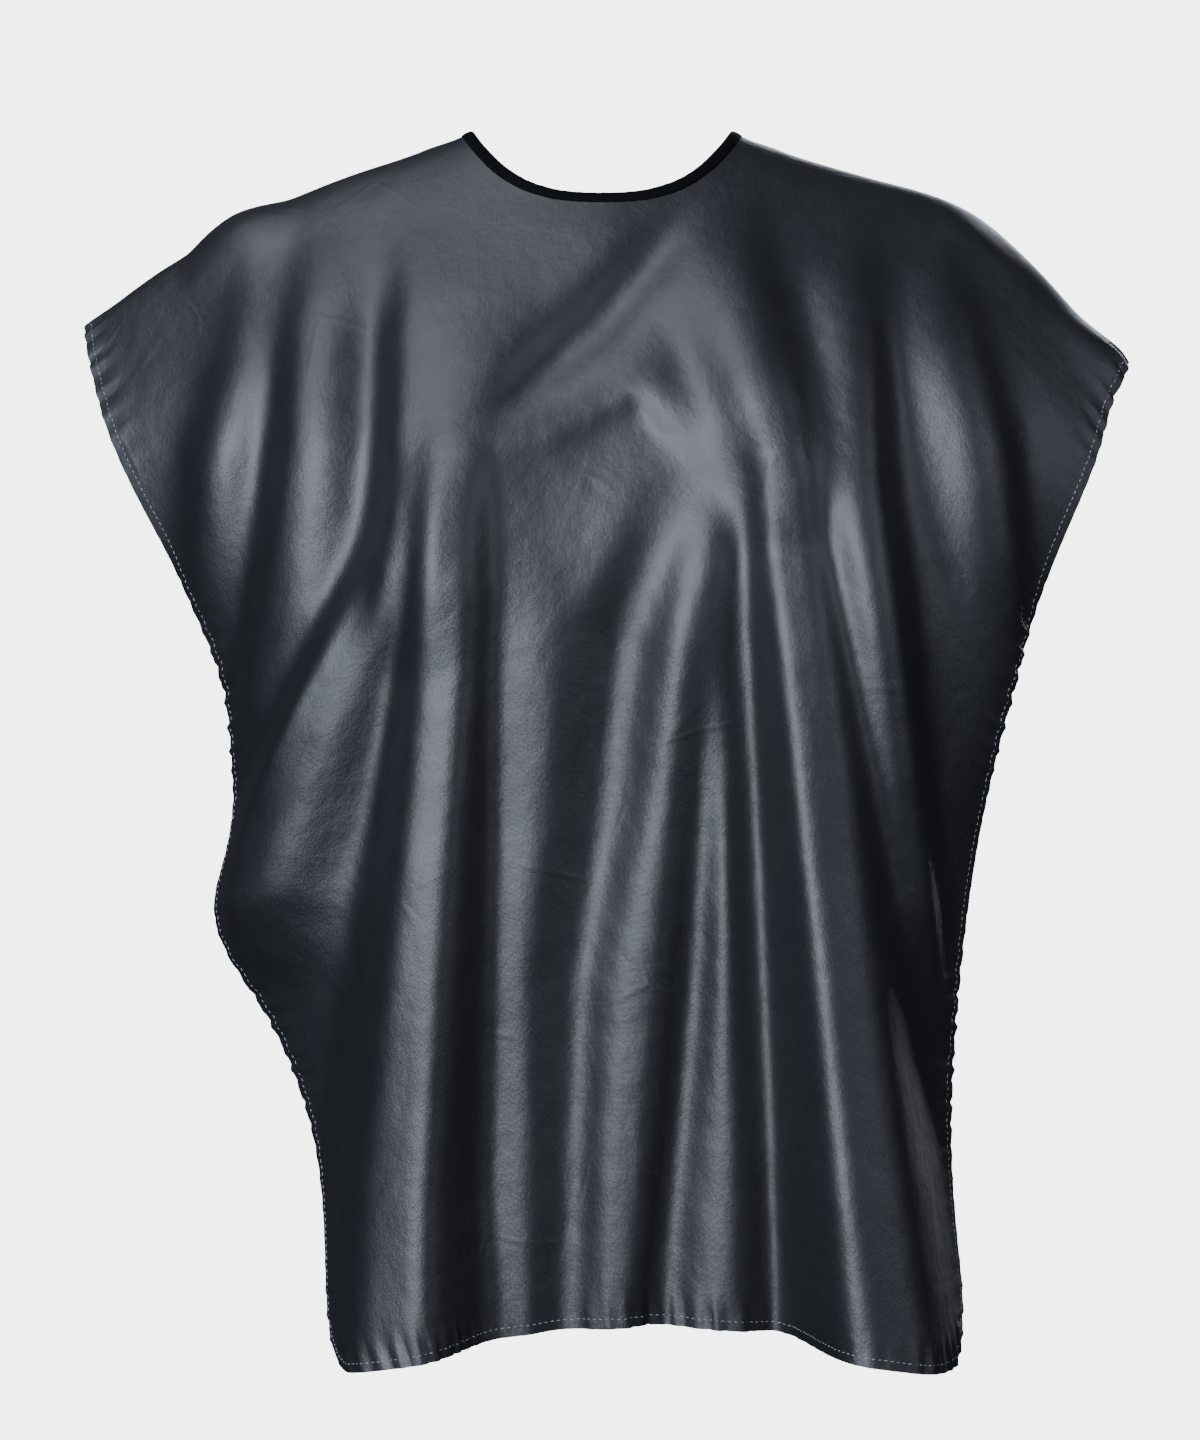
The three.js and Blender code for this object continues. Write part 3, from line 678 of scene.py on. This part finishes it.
def noise(nodes, links, vector, scale, detail):
    texture = nodes.new("ShaderNodeTexNoise")
    texture.inputs["Scale"].default_value = scale
    texture.inputs["Detail"].default_value = detail
    links.new(vector, texture.inputs["Vector"])
    return texture


def taffeta():
    """Plain-woven nylon: dark blue-grey, glossy, with the weave's fine ribs and slubs."""
    material, nodes, links, shader = node_material("nylon_taffeta")
    flat = nodes.new("ShaderNodeUVMap")
    flat.uv_map = "flat"
    weave = nodes.new("ShaderNodeTexWave")
    weave.bands_direction = "Y"
    weave.inputs["Scale"].default_value = 420
    weave.inputs["Distortion"].default_value = 0.6
    links.new(flat.outputs["UV"], weave.inputs["Vector"])
    crumple = noise(nodes, links, flat.outputs["UV"], 38, 5)
    slub = noise(nodes, links, flat.outputs["UV"], 420, 2)
    bent = nodes.new("ShaderNodeVectorMath")
    bent.operation = "MULTIPLY_ADD"
    bent.inputs[1].default_value = (0.03, 0.03, 0)
    drift = noise(nodes, links, flat.outputs["UV"], 9, 1)
    links.new(drift.outputs["Color"], bent.inputs[0])
    links.new(flat.outputs["UV"], bent.inputs[2])
    creases = nodes.new("ShaderNodeTexVoronoi")
    creases.feature = "DISTANCE_TO_EDGE"
    creases.inputs["Scale"].default_value = 11
    links.new(bent.outputs[0], creases.inputs["Vector"])
    pressed = nodes.new("ShaderNodeMapRange")
    pressed.interpolation_type = "SMOOTHSTEP"
    pressed.inputs["From Max"].default_value = 0.035
    pressed.inputs["To Min"].default_value = 1.0
    pressed.inputs["To Max"].default_value = 0.0
    links.new(creases.outputs["Distance"], pressed.inputs["Value"])
    patches = noise(nodes, links, flat.outputs["UV"], 13, 1)
    some = nodes.new("ShaderNodeMapRange")
    some.interpolation_type = "SMOOTHSTEP"
    some.inputs["From Min"].default_value = 0.54
    some.inputs["From Max"].default_value = 0.66
    links.new(patches.outputs["Fac"], some.inputs["Value"])
    kept = nodes.new("ShaderNodeMath")
    kept.operation = "MULTIPLY"
    links.new(pressed.outputs["Result"], kept.inputs[0])
    links.new(some.outputs["Result"], kept.inputs[1])
    height = nodes.new("ShaderNodeMath")
    height.operation = "MULTIPLY_ADD"
    height.inputs[1].default_value = 0.25
    links.new(weave.outputs["Fac"], height.inputs[0])
    links.new(slub.outputs["Fac"], height.inputs[2])
    fine = nodes.new("ShaderNodeBump")
    fine.inputs["Strength"].default_value = 0.5
    fine.inputs["Distance"].default_value = 0.0003
    links.new(height.outputs[0], fine.inputs["Height"])
    broad = nodes.new("ShaderNodeBump")
    broad.inputs["Strength"].default_value = 0.30
    broad.inputs["Distance"].default_value = 0.004
    links.new(crumple.outputs["Fac"], broad.inputs["Height"])
    links.new(fine.outputs["Normal"], broad.inputs["Normal"])
    packed = nodes.new("ShaderNodeBump")
    packed.inputs["Strength"].default_value = 0.10
    packed.inputs["Distance"].default_value = 0.002
    links.new(kept.outputs[0], packed.inputs["Height"])
    links.new(broad.outputs["Normal"], packed.inputs["Normal"])
    links.new(packed.outputs["Normal"], shader.inputs["Normal"])
    colour = nodes.new("ShaderNodeValToRGB")
    colour.color_ramp.elements[0].color = (0.0035, 0.004, 0.0055, 1)
    colour.color_ramp.elements[1].color = (0.006, 0.007, 0.0095, 1)
    links.new(slub.outputs["Fac"], colour.inputs["Fac"])
    links.new(colour.outputs["Color"], shader.inputs["Base Color"])
    rough = nodes.new("ShaderNodeMapRange")
    rough.inputs["To Min"].default_value = 0.45
    rough.inputs["To Max"].default_value = 0.55
    links.new(crumple.outputs["Fac"], rough.inputs["Value"])
    links.new(rough.outputs["Result"], shader.inputs["Roughness"])
    shader.inputs["Specular IOR Level"].default_value = 1.0
    return material


def woven_band(name, dark, light, rib):
    """Matt woven tape with ribs across it."""
    material, nodes, links, shader = node_material(name)
    place = nodes.new("ShaderNodeTexCoord")
    ribs = nodes.new("ShaderNodeTexWave")
    ribs.inputs["Scale"].default_value = rib
    ribs.inputs["Distortion"].default_value = 1.2
    links.new(place.outputs["Object"], ribs.inputs["Vector"])
    fuzz = noise(nodes, links, place.outputs["Object"], 900, 3)
    colour = nodes.new("ShaderNodeValToRGB")
    colour.color_ramp.elements[0].color = (*dark, 1)
    colour.color_ramp.elements[1].color = (*light, 1)
    links.new(fuzz.outputs["Fac"], colour.inputs["Fac"])
    links.new(colour.outputs["Color"], shader.inputs["Base Color"])
    bump = nodes.new("ShaderNodeBump")
    bump.inputs["Strength"].default_value = 0.5
    bump.inputs["Distance"].default_value = 0.0003
    links.new(ribs.outputs["Fac"], bump.inputs["Height"])
    links.new(bump.outputs["Normal"], shader.inputs["Normal"])
    shader.inputs["Roughness"].default_value = 0.85
    shader.inputs["Specular IOR Level"].default_value = 0.12
    return material


def moulded_snap():
    """Black resin press studs with light handling wear."""
    material, nodes, links, shader = node_material("snap_resin")
    place = nodes.new("ShaderNodeTexCoord")
    wear = noise(nodes, links, place.outputs["Object"], 350, 4)
    rough = nodes.new("ShaderNodeMapRange")
    rough.inputs["To Min"].default_value = 0.22
    rough.inputs["To Max"].default_value = 0.42
    links.new(wear.outputs["Fac"], rough.inputs["Value"])
    links.new(rough.outputs["Result"], shader.inputs["Roughness"])
    colour = nodes.new("ShaderNodeValToRGB")
    colour.color_ramp.elements[0].color = (0.010, 0.010, 0.011, 1)
    colour.color_ramp.elements[1].color = (0.020, 0.020, 0.022, 1)
    links.new(wear.outputs["Fac"], colour.inputs["Fac"])
    links.new(colour.outputs["Color"], shader.inputs["Base Color"])
    return material


def twisted_thread():
    """Light grey polyester thread, twisted; the twist is drawn as diagonal bands of painted shade
    and painted highlight.
    """
    material, nodes, links, shader = node_material("thread")
    place = nodes.new("ShaderNodeTexCoord")
    twist_shade = nodes.new("ShaderNodeTexWave")
    twist_shade.bands_direction = "DIAGONAL"
    twist_shade.inputs["Scale"].default_value = 900
    links.new(place.outputs["Object"], twist_shade.inputs["Vector"])
    # painted shade in the twist's grooves and painted highlight on its plies, as diagonal colour
    # bands
    colour = nodes.new("ShaderNodeValToRGB")
    colour.color_ramp.elements[0].color = (0.16, 0.17, 0.19, 1)
    colour.color_ramp.elements[1].color = (0.42, 0.43, 0.46, 1)
    links.new(twist_shade.outputs["Fac"], colour.inputs["Fac"])
    links.new(colour.outputs["Color"], shader.inputs["Base Color"])
    shader.inputs["Roughness"].default_value = 0.5
    return material


# ---------------------------------------------------------------- stitches and binding

class FlatLookup:
    """Finds the cloth's place and normal at flat coordinates, from the fine mesh."""

    def __init__(self, points, normals, flat, faces):
        self.points, self.normals, self.flat = points, normals, flat
        self.tree = KDTree(len(flat))
        for k, (u, v) in enumerate(flat):
            self.tree.insert((u, v, 0), k)
        self.tree.balance()

    def __call__(self, u, v, side=0):
        place, normal, total = np.zeros(3), np.zeros(3), 0.0
        for _, k, apart in self.tree.find_n((u, v, 0), 8):
            if side and self.points[k, 0] * side < -0.001:
                continue
            weight = 1 / (apart + 1e-4) ** 2
            place += self.points[k] * weight
            normal += self.normals[k] * weight
            total += weight
            if total and apart > 0.006:
                break
        return place / total, normal / np.linalg.norm(normal)


def hem_outline(half_width, start, length, way, inset):
    """Flat places along a hem line at the inset: down the left side, across and up the right."""
    inner = half_width - inset
    bend = CORNER - inset
    down = length - CORNER
    step = LINE_STEP
    line = [(-inner, v) for v in np.arange(start, down, step)]
    line += [(-(half_width - CORNER) - bend * math.cos(a), down + bend * math.sin(a))
             for a in np.arange(0, math.pi / 2, step / bend)]
    straight = half_width - CORNER
    line += [(u, length - inset) for u in np.arange(-straight, straight, step)]
    line += [(half_width - CORNER + bend * math.sin(a), down + bend * math.cos(a))
             for a in np.arange(0, math.pi / 2, step / bend)]
    line += [(inner, v) for v in np.arange(down, start, -step)]
    return [(u, way * v) for u, v in line]


def stitched(name, lines, lookup):
    """One object of separate stitches, each a short raised thread with both ends in the cloth."""
    sides, rings = 6, 5
    points, faces = [], []
    for side, line in lines:
        path = np.array([lookup(u, v, side)[0] for u, v in line])
        along = np.concatenate([[0], np.cumsum(np.linalg.norm(np.diff(path, axis=0), axis=1))])
        ups = np.array([lookup(u, v, side)[1] for u, v in line])
        for begin in np.arange(STITCH_PITCH, along[-1] - STITCH_PITCH, STITCH_PITCH):
            at = begin + np.linspace(0, STITCH_LENGTH, rings)
            centre = np.stack([np.interp(at, along, path[:, k]) for k in range(3)], 1)
            up = np.stack([np.interp(at, along, ups[:, k]) for k in range(3)], 1)
            up /= np.linalg.norm(up, axis=1, keepdims=True)
            bow = np.sin(np.linspace(0, np.pi, rings))
            radius = THREAD * (0.35 + 0.65 * np.sqrt(bow))
            centre = centre + up * (THREAD * (0.9 * bow - 0.4))[:, None]
            ahead = centre[-1] - centre[0]
            across = np.cross(up, ahead / np.linalg.norm(ahead))
            first = len(points)
            for k in range(rings):
                for m in range(sides):
                    angle = 2 * np.pi * m / sides
                    out = math.cos(angle) * across[k] + math.sin(angle) * up[k]
                    points.append(centre[k] + radius[k] * out)
            for k in range(rings - 1):
                for m in range(sides):
                    a, b = first + k * sides + m, first + k * sides + (m + 1) % sides
                    faces.append((a, a + sides, b + sides, b))
            faces.append(tuple(first + m for m in range(sides)))
            faces.append(tuple(first + (rings - 1) * sides + m for m in reversed(range(sides))))
    mesh = bpy.data.meshes.new(name)
    mesh.from_pydata([tuple(p) for p in points], [], faces)
    mesh.polygons.foreach_set("use_smooth", np.ones(len(faces), bool))
    stitches = bpy.data.objects.new(name, mesh)
    bpy.context.scene.collection.objects.link(stitches)
    return stitches


def neck_binding(lookup):
    """A folded tape around the neck hole, slightly rippled, closed at its two ends by the slit."""
    stations, sides = 220, 16
    gap = BINDING_GAP / NECK
    points, faces = [], []
    angles = np.linspace(gap, 2 * math.pi - gap, stations + 1)
    frames = []
    for angle in angles:
        side = 1 if angle < math.pi else -1
        edge = (NECK * math.sin(angle), -NECK * math.cos(angle))
        side = side if edge[1] < 0 else 0
        place, normal = lookup(*edge, side)
        outer = lookup(edge[0] * 1.15, edge[1] * 1.15, side)[0]
        frames.append(np.concatenate([place, normal, outer - place]))
    frames = np.array(frames)
    for _ in range(12):
        frames[1:-1] = frames[1:-1] / 2 + (frames[:-2] + frames[2:]) / 4
    for angle, place, normal, outwards in zip(angles, frames[:, :3], frames[:, 3:6], frames[:, 6:]):
        normal = normal / np.linalg.norm(normal)
        outwards = outwards - normal * (outwards @ normal)
        outwards /= np.linalg.norm(outwards)
        ripple = 0.00018 * math.sin(angle * 61) + 0.00012 * math.sin(angle * 97 + 1)
        for m in range(sides):
            turn = 2 * math.pi * m / sides
            across = math.copysign(abs(math.cos(turn)) ** 0.8, math.cos(turn)) * BINDING_WIDTH / 2
            high = math.copysign(abs(math.sin(turn)) ** 0.8, math.sin(turn)) * BINDING_THICKNESS / 2
            shift = outwards * (across - BINDING_WIDTH * BINDING_INWARDS)
            points.append(place + shift + normal * (high + ripple * (0.4 + 0.6 * math.sin(turn))))
    for k in range(stations):
        for m in range(sides):
            a, b = k * sides + m, k * sides + (m + 1) % sides
            faces.append((a, b, b + sides, a + sides))
    faces.append(tuple(reversed(range(sides))))
    faces.append(tuple(stations * sides + m for m in range(sides)))
    mesh = bpy.data.meshes.new("binding")
    mesh.from_pydata([tuple(p) for p in points], [], faces)
    mesh.polygons.foreach_set("use_smooth", np.ones(len(faces), bool))
    binding = bpy.data.objects.new("binding", mesh)
    bpy.context.scene.collection.objects.link(binding)
    return binding


# ---------------------------------------------------------------- the object

def make_cape():
    flat, faces, halves, grids, rows = flat_cut()
    points = laid_out(flat, grids, rows)
    radius = np.hypot(flat[:, 0], flat[:, 1])
    behind_neck = (flat[:, 1] < 0) & (radius < NECK + CLOSURE_DEPTH)
    closure = behind_neck & (np.abs(flat[:, 0]) < CLOSURE_REACH)
    held = np.nonzero((radius < NECK + 1e-4) | closure)[0]
    points = relaxed(points, flat, halves, held)
    points, faces, flat = subdivided(points, faces, flat, 1)
    normals = normals_of(points, faces)
    if normals[np.argmin(points[:, 1])][1] > 0:
        faces, normals = faces[:, ::-1], -normals
    points = points + normals * hem_puckers(flat)[:, None]
    normals = normals_of(points, faces)
    middle = flat[faces].mean(1)
    behind = middle[:, 1] < PANEL_LINE
    parts = {
        "cape_front": faces[~behind],
        "cape_back_left": faces[behind & (middle[:, 0] < 0)],
        "cape_back_right": faces[behind & (middle[:, 0] > 0)],
    }
    pieces = {name: cloth_shell(name, points, part, flat, normals) for name, part in parts.items()}
    return pieces, FlatLookup(points, normals, flat, faces)


def dress(piece, material):
    piece.data.materials.clear()
    piece.data.materials.append(material)


def panel_bend(side):
    """Start and end of the bend of a back half, square to its hinge line."""
    name = "back_left_lift" if side < 0 else "back_right_lift"
    joint = next(j for j in frame["joints"] if j["name"] == name)
    place, axis = np.array(joint["pos_m"]), np.array(joint["axis"])
    out = np.array([0, 1, 0]) - axis * axis[1]
    down = np.cross(out / np.linalg.norm(out), axis)
    down *= -np.sign(down[2])
    return tuple(place - down * 0.01), tuple(place + down * 0.07)


make_camera()
make_lights()
make_world()
make_floor()

cloth_look = taffeta()
binding_look = woven_band("binding_tape", (0.0008, 0.0008, 0.001), (0.002, 0.002, 0.0025), 260)
webbing_look = woven_band("stud_webbing", (0.006, 0.006, 0.007), (0.014, 0.014, 0.016), 200)
snap_look, thread_look = moulded_snap(), twisted_thread()

pieces, lookup = make_cape()
front = pieces["cape_front"]
back_left, back_right = pieces["cape_back_left"], pieces["cape_back_right"]
for piece in pieces.values():
    dress(piece, cloth_look)

front_line = hem_outline(HALF, PANEL_LINE, FRONT, 1, STITCH_INSET)
front_stitches = stitched("front_stitches", [(0, front_line)], lookup)
back_line = hem_outline(HALF, -PANEL_LINE, BACK, -1, STITCH_INSET)
slit_rows = [-v for v in np.arange(NECK + SLIT_SEAM_START, BACK - STITCH_INSET, LINE_STEP)]
back_stitches = {}
for side, name in ((-1, "back_left_stitches"), (1, "back_right_stitches")):
    hem_line = [(u, v) for u, v in back_line if u * side > SLIT_CLEARANCE]
    slit_line = [(side * STITCH_INSET, v) for v in slit_rows]
    back_stitches[side] = stitched(name, [(side, hem_line), (side, slit_line)], lookup)
binding = neck_binding(lookup)
dress(binding, binding_look)
for stitches in (front_stitches, *back_stitches.values()):
    dress(stitches, thread_look)

for name, node in frame["nodes"].items():
    moulded = name.startswith(("stud_p", "socket")) or name[-1].isdigit()
    look = snap_look if moulded else webbing_look
    for slot in node.material_slots:
        slot.material = look

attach(front, "cape")
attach(front_stitches, "cape")
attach(binding, "cape")
for side, piece, body in ((-1, back_left, "back_left"), (1, back_right, "back_right")):
    start, end = panel_bend(side)
    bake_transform(piece)
    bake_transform(back_stitches[side])

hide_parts("cape_body")
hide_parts("back_panel_left")
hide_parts("back_panel_right")
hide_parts("front_hem_thread")
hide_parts("back_left_hem_thread")
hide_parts("back_right_hem_thread")
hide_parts("neck_binding")

hole_behind = NECK**2 * math.acos(-PANEL_LINE / NECK)
hole_behind += PANEL_LINE * math.sqrt(NECK**2 - PANEL_LINE**2)
